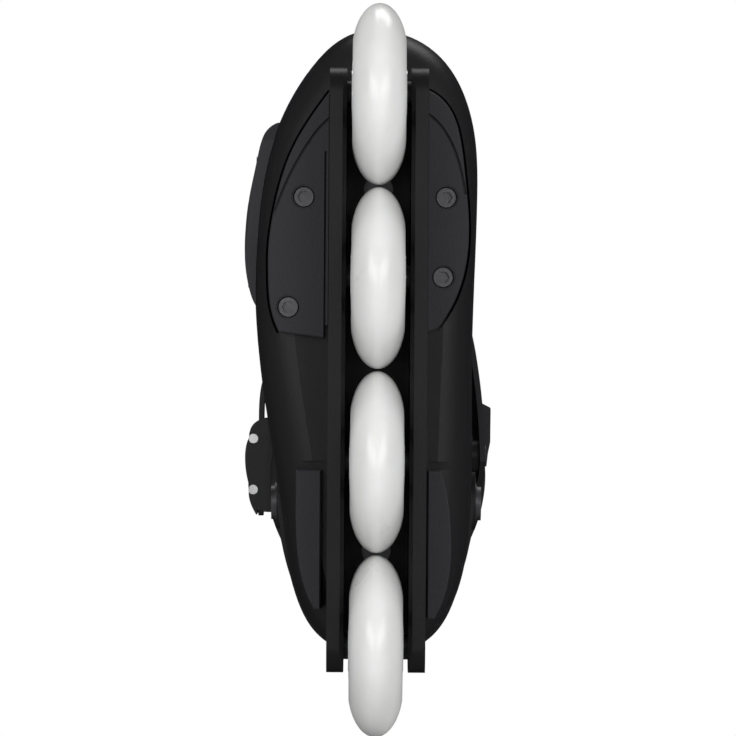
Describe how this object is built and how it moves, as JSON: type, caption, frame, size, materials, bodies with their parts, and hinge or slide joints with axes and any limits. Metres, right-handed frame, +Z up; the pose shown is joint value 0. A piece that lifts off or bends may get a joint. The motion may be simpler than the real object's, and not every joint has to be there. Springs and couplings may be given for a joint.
{
  "type": "inline skate",
  "caption": "Right inline skate: a hard boot shell moulded in one piece with its frame rails, wheels in one row on bearings, hinged cuff, padded liner and ratchet buckles.",
  "frame": {"origin": "on the ground, under the middle of the wheelbase and on the wheels' centre plane", "axes": "+Z up; -Y toward the toe; -X toward the outer, little-toe side of the right foot"},
  "size_m": [0.1203, 0.323, 0.3475],
  "materials": {
    "shell_plastic": "satin black moulded plastic",
    "cuff_plastic": "satin black moulded plastic",
    "plate_plastic": "matte charcoal moulded plastic",
    "strap_plastic": "satin black flexible plastic",
    "buckle_plastic": "gloss black moulded plastic",
    "steel": "zinc-plated steel",
    "bearing_steel": "polished bearing steel",
    "bearing_shield": "pressed steel",
    "spacer_aluminium": "turned aluminium",
    "urethane": "milky white cast urethane",
    "hub_plastic": "white moulded plastic",
    "liner_fabric": "black padded textile",
    "insole_fabric": "dark grey textile",
    "webbing": "black woven webbing",
    "board_plastic": "grey moulded plastic",
    "pad_rubber": "grey foam rubber"
  },
  "bodies": {
    "boot": {"shell_frame": "shell_plastic", "sole_plate_front_outer": "plate_plastic", "sole_plate_front_inner": "plate_plastic", "sole_plate_rear_outer": "plate_plastic", "sole_plate_rear_inner": "plate_plastic", "sole_plate_screws": "steel", "sole_bolts": "steel", "lateral_guard": "plate_plastic", "lateral_guard_rivets": "steel", "vamp_cover": "plate_plastic", "vamp_cover_screws": "steel", "axle_bolts": "steel", "axle_screws": "steel", "bearing_inner_races": "bearing_steel", "bearing_spacers": "spacer_aluminium", "footbed_board": "board_plastic", "heel_pad": "pad_rubber", "insole": "insole_fabric", "liner_foot": "liner_fabric", "cuff_pivot_nuts": "steel", "cuff_pivot_bolts": "steel", "cuff_pivot_washers": "steel", "instep_strap": "strap_plastic", "instep_strap_rivet": "steel", "instep_buckle_base": "buckle_plastic", "instep_buckle_rivet": "steel", "instep_buckle_pins": "steel"},
    "cuff": {"cuff": "cuff_plastic", "cuff_strap": "strap_plastic", "cuff_strap_rivet": "steel", "cuff_buckle_base": "buckle_plastic", "cuff_buckle_rivet": "steel", "cuff_buckle_pins": "steel", "liner_collar": "liner_fabric", "liner_tongue": "liner_fabric", "liner_pull_loop": "webbing"},
    "cuff_lever": {"cuff_buckle_lever": "buckle_plastic"},
    "cuff_release": {"cuff_buckle_release": "buckle_plastic"},
    "instep_lever": {"instep_buckle_lever": "buckle_plastic"},
    "instep_release": {"instep_buckle_release": "buckle_plastic"},
    "wheel_1": {"wheel_1_tyre": "urethane", "wheel_1_hub": "hub_plastic", "wheel_1_bearing_outer_races": "bearing_steel", "wheel_1_bearing_balls": "bearing_steel", "wheel_1_bearing_shields": "bearing_shield"},
    "wheel_2": {"wheel_2_tyre": "urethane", "wheel_2_hub": "hub_plastic", "wheel_2_bearing_outer_races": "bearing_steel", "wheel_2_bearing_balls": "bearing_steel", "wheel_2_bearing_shields": "bearing_shield"},
    "wheel_3": {"wheel_3_tyre": "urethane", "wheel_3_hub": "hub_plastic", "wheel_3_bearing_outer_races": "bearing_steel", "wheel_3_bearing_balls": "bearing_steel", "wheel_3_bearing_shields": "bearing_shield"},
    "wheel_4": {"wheel_4_tyre": "urethane", "wheel_4_hub": "hub_plastic", "wheel_4_bearing_outer_races": "bearing_steel", "wheel_4_bearing_balls": "bearing_steel", "wheel_4_bearing_shields": "bearing_shield"}
  },
  "joints": [
    {"name": "wheel_1_spin", "type": "hinge", "parent": "boot", "child": "wheel_1", "pos_m": [0, -0.1215, 0.04], "axis": [1, 0, 0], "continuous": true},
    {"name": "wheel_2_spin", "type": "hinge", "parent": "boot", "child": "wheel_2", "pos_m": [0, -0.0405, 0.04], "axis": [1, 0, 0], "continuous": true},
    {"name": "wheel_3_spin", "type": "hinge", "parent": "boot", "child": "wheel_3", "pos_m": [0, 0.0405, 0.04], "axis": [1, 0, 0], "continuous": true},
    {"name": "wheel_4_spin", "type": "hinge", "parent": "boot", "child": "wheel_4", "pos_m": [0, 0.1215, 0.04], "axis": [1, 0, 0], "continuous": true},
    {"name": "cuff_flex", "type": "hinge", "parent": "boot", "child": "cuff", "pos_m": [0, 0.062, 0.172], "axis": [1, 0, 0], "range_deg": [-3, 12]},
    {"name": "cuff_lever_open", "type": "hinge", "parent": "cuff", "child": "cuff_lever", "pos_m": [-0.0601, 0.034, 0.285], "axis": [0, 0, 1], "range_deg": [0, 70]},
    {"name": "cuff_release_lift", "type": "hinge", "parent": "cuff", "child": "cuff_release", "pos_m": [-0.0601, 0.059, 0.285], "axis": [0, 0, 1], "range_deg": [0, 25], "stiffness_Nm_per_rad": 0.05},
    {"name": "instep_lever_open", "type": "hinge", "parent": "boot", "child": "instep_lever", "pos_m": [-0.03924, -0.02135, 0.17635], "axis": [0.2685, 0.5963, 0.7565], "range_deg": [0, 70]},
    {"name": "instep_release_lift", "type": "hinge", "parent": "boot", "child": "instep_release", "pos_m": [-0.04702, -0.00142, 0.16341], "axis": [0.2685, 0.5963, 0.7565], "range_deg": [0, 25], "stiffness_Nm_per_rad": 0.05}
  ]
}
